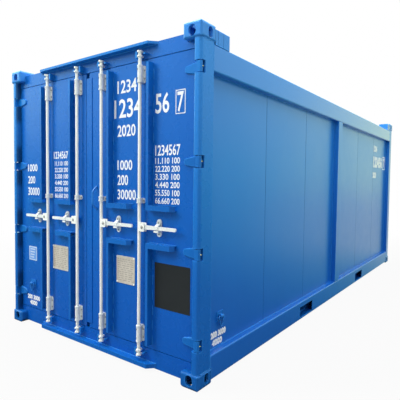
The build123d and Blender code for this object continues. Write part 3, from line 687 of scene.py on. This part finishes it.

# %% [markdown]
# The sheets of a wall meet in narrow grooves. A thin dark thread in each groove is painted shade, which
# draws the seam as a fine line. It comes from the same tree as the welds, with no ripple.

# %% Painted shade in the seams
seam_grime = Finish("seam_grime", specular_ior_level=0.1)
seam_grime.mottle((0.002, 0.022, 0.085, 1), (0.004, 0.050, 0.180, 1), 5.0, 3.0)
seam_grime.dull(0.6, 0.2, 20.0)
sheets_per_bay, thread = 3, 0.002
seam_lines = []
for step in range(1, sheets_per_bay):
    seam_y = bay_start + (bay_end - bay_start) * step / sheets_per_bay
    seam_lines.append([(panel_x - thread, seam_y, rail_low), (panel_x - thread, seam_y, rail_high)])
seam_lines = mirrored(mirrored(seam_lines, 1), 0)
for step in range(1, sheets_per_bay):
    seam_x = -wall_x + 2 * wall_x * step / sheets_per_bay
    seam_lines.append([(seam_x, wall_y - thread, rail_low), (seam_x, wall_y - thread, wall_top)])
thread_look = {"bead_radius": thread, "step": 0.05, "ripple": 0.0, "finish": seam_grime.material}
threads = grow(weld, lines_sketch(seam_lines), **thread_look)
settle("seam_dirt", threads, "container")

# %% [markdown]
# Smaller beads close the feet and heads of the corner posts, the blocks behind the top fittings, and the
# lips of the door header and sill.

# %% Weld lines at posts, blocks and lips
post_foot, post_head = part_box("door_posts")[0].z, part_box("door_posts")[1].z
lip_lo, lip_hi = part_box("door_lips")
door_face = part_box("right_door_leaf")[0].y
post_front, fitting_back, block_back, block_wide = 2.990, 2.851, 2.669, 0.150
sill_lip, header_lip = 0.034, 0.020
weld_x = rail_x - 0.002
small_lines = mirrored(mirrored([
    [(weld_x, -bay_end, post_foot), (weld_x, -post_front, post_foot)],
    [(weld_x, -bay_end, post_head), (weld_x, -post_front, post_head)],
    [(weld_x, -fitting_back, rail_top), (weld_x, -block_back, rail_top),
     (rail_x - block_wide, -block_back, rail_top)],
], 1), 0)
lip_levels = (lip_lo.z, lip_lo.z + sill_lip, lip_hi.z - header_lip)
lip_lines = [[(lip_lo.x, door_face, z), (lip_hi.x, door_face, z)] for z in lip_levels]
post_welds = grow(weld, lines_sketch(small_lines + lip_lines), bead_radius=0.004, seed=7, finish=bead_enamel)
settle("post_and_lip_welds", post_welds, "container")

# %% [markdown]
# On each door the guard angles are stitched to the leaf with broken runs of weld, a hand's width of bead
# and then a gap. The shelves at the ends of the guards have one bead along their top and one along their
# underside.

# %% Weld lines on the doors
bars_x = (0.164565, 0.616814)
guard_near, guard_far, stitch_away = 0.081, 0.106, 0.008
shelf_end = 0.3492
guard_runs = ((0.205, 0.970), (1.302, 2.385))
shelf_levels = ((0.970, 1.010), (1.262, 1.302))
stitch, stitch_gap = 0.075, 0.045


def stitches(x, low, high):
    """Short upright runs of weld with gaps between them."""
    count = int((high - low) / (stitch + stitch_gap))
    starts = [low + n * (stitch + stitch_gap) for n in range(count)]
    return [[(x, door_face, z), (x, door_face, z + stitch)] for z in starts]


for side, sign in (("right", 1), ("left", -1)):
    lines = []
    for bar_x in bars_x:
        for low, high in guard_runs:
            lines += stitches(bar_x + guard_far + stitch_away, low, high)
        for low, high in shelf_levels:
            lines += [
                [(bar_x + guard_near, door_face, low), (bar_x + shelf_end, door_face, low)],
                [(bar_x + guard_near, door_face, high), (bar_x + shelf_end, door_face, high)],
            ]
    lines = [[(sign * x, y, z) for x, y, z in line] for line in lines]
    beads = grow(weld, lines_sketch(lines), bead_radius=0.0035, seed=11, finish=frame_enamel)
    settle(f"{side}_guard_welds", beads, f"{side}_door")

# %% [markdown]
# The hinge blades are welded to the leaves all round their tapered outline, with its round nose.

# %% Weld lines round the hinge blades
blade_shoulder, blade_tip, nose_round = 1.136, 1.038, 0.020
root_half, tip_half, bead_rise = blade_height / 2, 0.023, 0.002
for side, sign in (("right", 1), ("left", -1)):
    lines = []
    for level in hinge_levels:
        tip_turn = [math.radians(a) for a in range(90, 271, 30)]
        nose = [(blade_tip + nose_round + nose_round * math.cos(a), tip_half * math.sin(a)) for a in tip_turn]
        edge = [(blade_shoulder, root_half)] + nose + [(blade_shoulder, -root_half)]
        lines.append([(sign * x, door_face - bead_rise, level + z) for x, z in edge])
    beads = grow(weld, lines_sketch(lines), bead_radius=0.005, seed=13, finish=bead_enamel)
    settle(f"{side}_blade_welds", beads, f"{side}_door")

# %% [markdown]
# Bolts hold the bar guides, the catches and the plates. A head is a six sided prism with a chamfered top on
# a round washer, and the tree stands one on every point of its sketch, facing the way that the point says.

# %% Bolt tree
bolt = Shape("bolt_head", {"Head radius": 0.010, "Head height": 0.007, "Washer radius": 0.015, "Finish": None})
washer_height, crown_height, crown_share = 0.0025, 0.002, 0.75
head_radius, head_height = bolt.given["Head radius"], bolt.given["Head height"]
flat = bolt.node(
    "GeometryNodeMeshCylinder", {},
    {"Vertices": 20, "Radius": bolt.given["Washer radius"], "Depth": washer_height},
)["Mesh"]
prism = bolt.node(
    "GeometryNodeMeshCylinder", {}, {"Vertices": 6, "Radius": head_radius, "Depth": head_height}
)["Mesh"]
crown = bolt.node(
    "GeometryNodeMeshCone", {},
    {"Vertices": 6, "Radius Top": head_radius * crown_share, "Radius Bottom": head_radius,
     "Depth": crown_height},
)["Mesh"]
half_up = bolt.node("ShaderNodeCombineXYZ", {}, {"Z": head_height * 0.5})["Vector"]
full_up = bolt.node("ShaderNodeCombineXYZ", {}, {"Z": head_height})["Vector"]
lifted = bolt.node("GeometryNodeTransform", {}, {"Geometry": prism, "Translation": half_up})["Geometry"]
capped = bolt.node("GeometryNodeTransform", {}, {"Geometry": crown, "Translation": full_up})["Geometry"]
head = bolt.node("GeometryNodeJoinGeometry", {}, {"Geometry": [flat, lifted, capped]})["Geometry"]
bolt.finish(bolt.stand(head))
print("bolt tree has", len(bolt.tree.nodes), "nodes")

# %% [markdown]
# Each guide pad has pairs of bolts, one on either side of its bar, and each catch has one below its handle.

# %% Bolts on the guides and catches
front = (0.0, -1.0, 0.0)
pad_thick, catch_thick = 0.006, 0.008
pad_face, catch_face = door_face - pad_thick, door_face - catch_thick
catch_offset, catch_bolt_level = 0.1845, 1.082
guide_bolt_levels = ((0.250, 0.314), (2.276, 2.340), (1.333,))
guide_bolt_offsets = (-0.023, 0.023)
gear_bolt = {"head_radius": 0.0065, "head_height": 0.005, "washer_radius": 0.008, "finish": bolt_zinc}
for side, sign in (("right", 1), ("left", -1)):
    places = []
    for bar_x in bars_x:
        for levels in guide_bolt_levels:
            places += [
                ((sign * (bar_x + off), pad_face, z), front) for z in levels for off in guide_bolt_offsets
            ]
        places.append(((sign * (bar_x + catch_offset), catch_face, catch_bolt_level), front))
    heads = grow(bolt, points_sketch(places), **gear_bolt)
    settle(f"{side}_gear_bolts", heads, f"{side}_door")

# %% [markdown]
# The pivot of each handle ends in a bolt head on the hub, which turns with the bar. The strap over the
# handle has a flat head, which lifts with the handle.

# %% Bolts on the hubs and straps
handle_level, bar_y = 1.130, -3.004
pivot_offset, hub_half = 0.040, 0.016
strap_gap, strap_thick, strap_rivet_rise = 0.005, 0.006, 0.043
hub_front = bar_y - hub_half
strap_face = catch_face - strap_gap - strap_thick
hub_bolt = {"head_radius": 0.009, "head_height": 0.006, "washer_radius": 0.013, "finish": bolt_zinc}
strap_rivet = {"head_radius": 0.007, "head_height": 0.004, "washer_radius": 0.009, "finish": bolt_zinc}
for side, sign in (("right", 1), ("left", -1)):
    for place, bar_x in zip(("inner", "outer"), bars_x):
        pin = [((sign * (bar_x + pivot_offset), hub_front, handle_level), front)]
        pin_head = grow(bolt, points_sketch(pin), **hub_bolt)
        settle(f"{side}_{place}_hub_bolt", pin_head, f"{side}_{place}_bar")
        strap = [((sign * (bar_x + catch_offset), strap_face, handle_level + strap_rivet_rise), front)]
        strap_head = grow(bolt, points_sketch(strap), **strap_rivet)
        settle(f"{side}_{place}_strap_rivet", strap_head, f"{side}_{place}_grip")

# %% [markdown]
# The knuckle of each hinge has a brass grease nipple: a six sided foot, a waist and a small ball that the
# grease gun grips. They are the only specks of yellow on the container. One tree builds the three bits from
# the nipple's length and radius.

# %% Grease nipples
brass = Finish("brass", metallic=1.0)
brass.mottle((0.62, 0.42, 0.12, 1), (0.85, 0.66, 0.26, 1), 200.0, 3.0)
brass.dull(0.28, 0.2, 300.0)

nipple = Shape("grease_nipple", {"Length": 0.009, "Radius": 0.0045, "Finish": None})
nipple_long, nipple_radius = nipple.given["Length"], nipple.given["Radius"]
foot = nipple.node(
    "GeometryNodeMeshCylinder", {}, {"Vertices": 6, "Radius": nipple_radius, "Depth": nipple_long * 0.5}
)["Mesh"]
waist = nipple.node(
    "GeometryNodeMeshCone", {},
    {"Vertices": 12, "Radius Bottom": nipple_radius * 0.8, "Radius Top": nipple_radius * 0.45,
     "Depth": nipple_long * 0.4},
)["Mesh"]
ball = nipple.node(
    "GeometryNodeMeshUVSphere", {}, {"Segments": 12, "Rings": 8, "Radius": nipple_radius * 0.6}
)["Mesh"]
waist_up = nipple.node("ShaderNodeCombineXYZ", {}, {"Z": nipple_long * 0.25})["Vector"]
ball_up = nipple.node("ShaderNodeCombineXYZ", {}, {"Z": nipple_long * 0.75})["Vector"]
stem = nipple.node("GeometryNodeTransform", {}, {"Geometry": waist, "Translation": waist_up})["Geometry"]
tip = nipple.node("GeometryNodeTransform", {}, {"Geometry": ball, "Translation": ball_up})["Geometry"]
whole = nipple.node("GeometryNodeJoinGeometry", {}, {"Geometry": [foot, stem, tip]})["Geometry"]
nipple.finish(nipple.stand(whole))

pin_x, pin_y, barrel_radius = 1.196, -3.003, 0.014
aside = Vector((0.8, 0.6, 0.0))
nipple_x, nipple_y = pin_x + aside.x * barrel_radius, pin_y + aside.y * barrel_radius
for side, sign in (("right", 1), ("left", -1)):
    way = (sign * aside.x, aside.y, 0.0)
    places = [((sign * nipple_x, nipple_y, z), way) for z in hinge_levels]
    nipples = grow(nipple, points_sketch(places), finish=brass.material)
    settle(f"{side}_grease_nipples", nipples, f"{side}_door")

# %% [markdown]
# The sleeves of the long guides are closed with pairs of flat rivets, which have gone dark. A rivet head is
# a sphere pressed flat, and the tree stands it on the round of the sleeve.

# %% Rivets
rivet = Shape("rivet_head", {"Radius": 0.008, "Rise": 0.35, "Finish": None})
round_head = rivet.node(
    "GeometryNodeMeshUVSphere", {}, {"Segments": 14, "Rings": 8, "Radius": rivet.given["Radius"]}
)["Mesh"]
pressed = rivet.node("ShaderNodeCombineXYZ", {}, {"X": 1.0, "Y": 1.0, "Z": rivet.given["Rise"]})["Vector"]
flattened = rivet.node("GeometryNodeTransform", {}, {"Geometry": round_head, "Scale": pressed})["Geometry"]
smooth_head = rivet.node("GeometryNodeSetShadeSmooth", {}, {"Geometry": flattened})["Geometry"]
rivet.finish(rivet.stand(smooth_head))
rivet_dark = zinc("rivet_zinc", (0.16, 0.16, 0.16, 1), (0.07, 0.07, 0.075, 1))

sleeve_radius = 0.020
rivet_levels = (0.248, 0.316, 2.274, 2.342)
back_side = Vector((-0.5, -0.866, 0.0))
rivet_y = bar_y + back_side.y * sleeve_radius
for side, sign in (("right", 1), ("left", -1)):
    places = []
    for bar_x in bars_x:
        rivet_x = sign * bar_x + back_side.x * sleeve_radius
        places += [((rivet_x, rivet_y, z), tuple(back_side)) for z in rivet_levels]
    rivets = grow(rivet, points_sketch(places), finish=rivet_dark)
    settle(f"{side}_guide_rivets", rivets, f"{side}_door")

# %% [markdown]
# Plates, the black square, the sticker and the lips of the seals are thin sheets on the doors. A plain box
# would have razor edges, so `sheet` builds a plate with round corners and a bevel round its front. All are
# cut from the same few lines, and differ in thickness and finish.


# %% Sheet helper
def outline(low, high, corner, inset):
    """The points of a rounded rectangle, counter-clockwise as seen from the front."""
    points = []
    corners = ((high[0], low[1], -90), (high[0], high[1], 0), (low[0], high[1], 90), (low[0], low[1], 180))
    for x, z, start in corners:
        centre_x = x - corner if x == high[0] else x + corner
        centre_z = z - corner if z == high[1] else z + corner
        for turn in (0, 30, 60, 90):
            angle = math.radians(start + turn)
            reach = corner - inset
            points.append((centre_x + reach * math.cos(angle), centre_z + reach * math.sin(angle)))
    return points


def sheet(mesh, low, high, back, thickness, corner, bevel, material=0):
    """Add a plate to a bmesh; low and high are its corners in x and z, back is the y that it lies on."""
    rings = [
        [mesh.verts.new((x, y, z)) for x, z in outline(low, high, corner, inset)]
        for y, inset in ((back, 0.0), (back - thickness + bevel, 0.0), (back - thickness, bevel))
    ]
    count = len(rings[0])
    faces = [mesh.faces.new(rings[2]), mesh.faces.new(list(reversed(rings[0])))]
    for lower, upper in zip(rings, rings[1:]):
        for i in range(count):
            j = (i + 1) % count
            faces.append(mesh.faces.new((lower[i], lower[j], upper[j], upper[i])))
    for face in faces:
        face.material_index = material


def finish_sheets(mesh, name, body, finishes):
    """Turn a bmesh of sheets into a piece with its finishes."""
    data = bpy.data.meshes.new(name)
    mesh.to_mesh(data)
    mesh.free()
    for finish in finishes:
        data.materials.append(finish.material)
    settle(name, data, body)


print("sheet helper ready")

# %% [markdown]
# Each door carries a beige data plate held by a screw at each corner. Its small print is shown by short
# raised bars of uneven length, set in rows from a fixed seed, so it looks like a filled plate and says
# nothing.

# %% Data plates
plate_tan = Finish("plate_tan", metallic=0.1)
plate_tan.mottle((0.46, 0.40, 0.32, 1), (0.74, 0.68, 0.59, 1), 24.0, 4.0)
plate_tan.dull(0.38, 0.2, 40.0, 3.0)
plate_tan.set("Normal", plate_tan.bump(plate_tan.noise(160.0, 2.0), 0.0002))
plate_ink = Finish("plate_ink")
plate_ink.mottle((0.30, 0.25, 0.20, 1), (0.44, 0.38, 0.31, 1), 30.0)
plate_ink.dull(0.5, 0.2, 90.0)

plates = {"right": ((0.320, 0.640), (0.535, 0.868)), "left": ((-0.585, 0.631), (-0.345, 0.863))}
plate_cut = {"thickness": 0.003, "corner": 0.008, "bevel": 0.001}
print_cut = {"thickness": 0.0005, "corner": 0.0012, "bevel": 0.0002, "material": 1}
print_sunk = 0.0002
plate_face = door_face - plate_cut["thickness"]
print_back = plate_face + print_sunk
screw_inset, row_count, row_start, row_tall = 0.009, 11, 0.3, 0.34
margin, last_start = 1.6 * screw_inset, 3 * screw_inset
plate_screw = {"head_radius": 0.006, "head_height": 0.003, "washer_radius": 0.008, "finish": bar_zinc}
dice = random.Random(20)
for side, (low, high) in plates.items():
    cut = bmesh.new()
    sheet(cut, low, high, door_face, **plate_cut)
    row_pitch = (high[1] - low[1] - 4 * screw_inset) / row_count
    for row in range(row_count):
        z = low[1] + 2 * screw_inset + (row + row_start) * row_pitch
        x = low[0] + margin
        while x < high[0] - last_start:
            end = min(x + dice.uniform(0.012, 0.050), high[0] - margin)
            sheet(cut, (x, z), (end, z + row_pitch * row_tall), print_back, **print_cut)
            x = end + dice.uniform(0.006, 0.022)
    finish_sheets(cut, f"{side}_data_plate", f"{side}_door", (plate_tan, plate_ink))
    screws = [
        ((x, plate_face, z), front)
        for x in (low[0] + screw_inset, high[0] - screw_inset)
        for z in (low[1] + screw_inset, high[1] - screw_inset)
    ]
    screw_heads = grow(bolt, points_sketch(screws), **plate_screw)
    settle(f"{side}_plate_screws", screw_heads, f"{side}_door")

# %% [markdown]
# The right door also has a large square of matt black film, and the left door a small pale sticker with a
# white rim and a few bars in place of wording.

# %% Black square and sticker
black_film = Finish("black_film", specular_ior_level=0.12)
black_film.mottle((0.018, 0.020, 0.021, 1), (0.027, 0.029, 0.030, 1), 5.0, 4.0)
black_film.dull(0.6, 0.2, 20.0, 3.0)
black_film.set("Normal", black_film.bump(black_film.noise(500.0), 0.0001))
square = bmesh.new()
sheet(square, (0.751, 0.513), (1.100, 0.863), door_face, thickness=0.001, corner=0.003, bevel=0.0003)
finish_sheets(square, "black_square", "right_door", (black_film,))

sticker_rim = Finish("sticker_rim")
sticker_rim.mottle((0.46, 0.56, 0.74, 1), (0.58, 0.67, 0.82, 1), 20.0)
sticker_rim.dull(0.35, 0.1, 40.0)
sticker_field = Finish("sticker_field")
sticker_field.mottle((0.10, 0.27, 0.68, 1), (0.15, 0.33, 0.74, 1), 25.0)
sticker_field.dull(0.35, 0.1, 40.0)
film, film_bevel = 0.0005, 0.0002
field_back, bars_back = door_face - 0.0005, door_face - 0.0009
bar_count, first_bar, bar_pitch, bar_tall = 4, 0.690, 0.027, 0.012
bar_start, first_end, bar_growth = -0.984, -0.920, 0.008
label = bmesh.new()
sheet(label, (-1.008, 0.664), (-0.869, 0.806), door_face, 0.0006, 0.006, film_bevel)
sheet(label, (-0.996, 0.676), (-0.881, 0.794), field_back, film, 0.004, film_bevel, material=1)
for step in range(bar_count):
    bar_low = first_bar + step * bar_pitch
    bar_end = first_end + bar_growth * step
    sheet(label, (bar_start, bar_low), (bar_end, bar_low + bar_tall), bars_back, film, 0.002, film_bevel)
finish_sheets(label, "small_sticker", "left_door", (sticker_rim, sticker_field))

# %% [markdown]
# The seals have a thin lip that closes the seam above and below each door. It was sprayed over with the
# doors, so the seam is a fine blue line and not a black one. Four slim strips do it, and they stop short of
# the header and the sill.

# %% Seal lips
sprayed = Finish("sprayed_rubber", specular_ior_level=0.2)
sprayed.mottle((0.004, 0.120, 0.470, 1), (0.008, 0.150, 0.540, 1), 12.0, 3.0)
sprayed.dull(0.45, 0.2, 40.0)
lip_rise, lip_set_back = 0.005, 0.003
lip_cut = {"thickness": 0.013, "corner": 0.002, "bevel": 0.001}
lip_back = door_face + lip_set_back + lip_cut["thickness"]
for side in ("right", "left"):
    leaf_low, leaf_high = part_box(f"{side}_door_leaf")
    lips = bmesh.new()
    for low_z, high_z in ((leaf_high.z, leaf_high.z + lip_rise), (leaf_low.z - lip_rise, leaf_low.z)):
        sheet(lips, (leaf_low.x, low_z), (leaf_high.x, high_z), lip_back, **lip_cut)
    finish_sheets(lips, f"{side}_seal_lips", f"{side}_door", (sprayed,))

# %% [markdown]
# White figures are sprayed on through stencils. Blender's text objects are curves, so each row is turned
# into a mesh first and then stretched to the box that the row fills, because stencil figures are tall and
# narrow. Only plain numbers are used: they show where the lettering of such a container goes without naming
# anyone.

# %% Figure helper
stencil_white = Finish("stencil_white")
stencil_white.mottle((0.80, 0.83, 0.84, 1), (0.92, 0.93, 0.92, 1), 60.0, 4.0)
stencil_white.dull(0.38, 0.15, 30.0)
paint_depth = 0.0004
fine, bold, heavy = 0.016, 0.045, 0.070


def row_mesh(text, stroke):
    """A row of figures as a flat mesh in its own plane."""
    curve = bpy.data.curves.new("row", "FONT")
    curve.body = text
    curve.extrude = paint_depth
    curve.offset = stroke
    curve.resolution_u = 3
    holder = bpy.data.objects.new("row", curve)
    scene.collection.objects.link(holder)
    bpy.context.view_layer.update()
    mesh = plain_mesh(holder)
    bpy.data.objects.remove(holder)
    bpy.data.curves.remove(curve)
    return mesh


def stencil(name, body, rows, origin, right, boxed=(), stroke=fine):
    """Rows of figures on a wall; each row is a text and its low u, high u, low z and high z."""
    out = right.cross(Vector((0, 0, 1)))
    joined = bmesh.new()
    for text, low_u, high_u, low_z, high_z in rows:
        mesh = row_mesh(text, stroke)
        xs = [v.co.x for v in mesh.vertices]
        ys = [v.co.y for v in mesh.vertices]
        for vertex in mesh.vertices:
            u = low_u + (vertex.co.x - min(xs)) / (max(xs) - min(xs)) * (high_u - low_u)
            z = low_z + (vertex.co.y - min(ys)) / (max(ys) - min(ys)) * (high_z - low_z)
            vertex.co = origin + right * u + out * (vertex.co.z + paint_depth) + Vector((0, 0, z))
        joined.from_mesh(mesh)
        bpy.data.meshes.remove(mesh)
    for low_u, high_u, low_z, high_z, line in boxed:
        sides = (
            (low_u, low_u + line, low_z, high_z), (high_u - line, high_u, low_z, high_z),
            (low_u + line, high_u - line, low_z, low_z + line),
            (low_u + line, high_u - line, high_z - line, high_z),
        )
        for u0, u1, z0, z1 in sides:
            corners = [(u0, z0), (u1, z0), (u1, z1), (u0, z1)]
            near = [joined.verts.new(origin + right * u + Vector((0, 0, z))) for u, z in corners]
            far = [joined.verts.new(v.co + out * 2 * paint_depth) for v in near]
            joined.faces.new(far)
            for i in range(4):
                joined.faces.new((near[i], near[(i + 1) % 4], far[(i + 1) % 4], far[i]))
    data = bpy.data.meshes.new(name)
    joined.to_mesh(data)
    joined.free()
    data.materials.clear()
    data.materials.append(stencil_white.material)
    settle(name, data, body)


print("stencil helper ready")

# %% [markdown]
# The right door has large rows at the top, and the last figure of the largest stands in a box. Both doors
# have a few short rows and a table of weights, and the left one has two more rows under its tag line eye.


# %% Figures on the doors
def table_rows(low_u, high_u, first, last, texts, tall):
    """Rows of one height, evenly spaced down from the first level to the last."""
    step = (first - last) / (len(texts) - 1)
    middles = [first - n * step for n in range(len(texts))]
    return [(text, low_u, high_u, z - tall / 2, z + tall / 2) for text, z in zip(texts, middles)]


weights = ("11.110 100", "22.220 200", "3.330 100", "4.440 200", "55.550 100", "66.660 200")
door_plane, rightward = Vector((0, door_face, 0)), Vector((1, 0, 0))
right_rows = [
    ("1234", 0.324, 0.545, 2.194, 2.299),
    ("1234", 0.287, 0.602, 1.996, 2.148), ("56", 0.749, 0.886, 1.996, 2.148),
    ("7", 0.964, 1.024, 1.992, 2.137),
    ("2020", 0.326, 0.535, 1.845, 1.940),
    ("1000", 0.327, 0.500, 1.573, 1.655), ("200", 0.327, 0.452, 1.450, 1.535),
    ("30000", 0.327, 0.542, 1.333, 1.415),
    ("1234567", 0.749, 0.996, 1.678, 1.760),
] + table_rows(0.750, 0.993, 1.640, 1.338, weights, 0.046)
right_box = [(0.948, 1.040, 1.977, 2.151, 0.006)]
stencil("right_door_figures", "right_door", right_rows, door_plane, rightward, right_box)
left_rows = [
    ("1000", -1.018, -0.850, 1.570, 1.644), ("200", -1.018, -0.890, 1.447, 1.524),
    ("30000", -1.018, -0.816, 1.328, 1.409),
    ("1234567", -0.567, -0.345, 1.687, 1.756),
] + table_rows(-0.552, -0.346, 1.642, 1.338, weights, 0.042)
stencil("left_door_figures", "left_door", left_rows, door_plane, rightward)
tag_rows = [("200 3000", -1.042, -0.821, 0.256, 0.304), ("4000", -1.000, -0.870, 0.200, 0.248)]
stencil("left_door_tag_figures", "left_door", tag_rows, door_plane, rightward, stroke=bold)

# %% [markdown]
# The long sides repeat the large rows near one end and the short rows near the other. Seen far off and
# aslant, they need heavier strokes.

# %% Figures on the long sides
side_rows = [
    ("200 3000", -2.782, -2.575, 0.290, 0.341), ("4000", -2.765, -2.625, 0.228, 0.280),
    ("1234", 1.955, 2.180, 2.022, 2.126), ("123456", 1.950, 2.570, 1.757, 1.953),
    ("7", 2.645, 2.760, 1.765, 1.945), ("2020", 1.935, 2.165, 1.578, 1.682),
]
side_box = [(2.605, 2.800, 1.737, 1.973, 0.018)]
for side, sign in (("right", 1), ("left", -1)):
    wall, along = Vector((sign * panel_x, 0, 0)), Vector((0, sign, 0))
    stencil(f"{side}_side_figures", "container", side_rows, wall, along, side_box, stroke=heavy)

# %% Update the scene
bpy.context.view_layer.update()
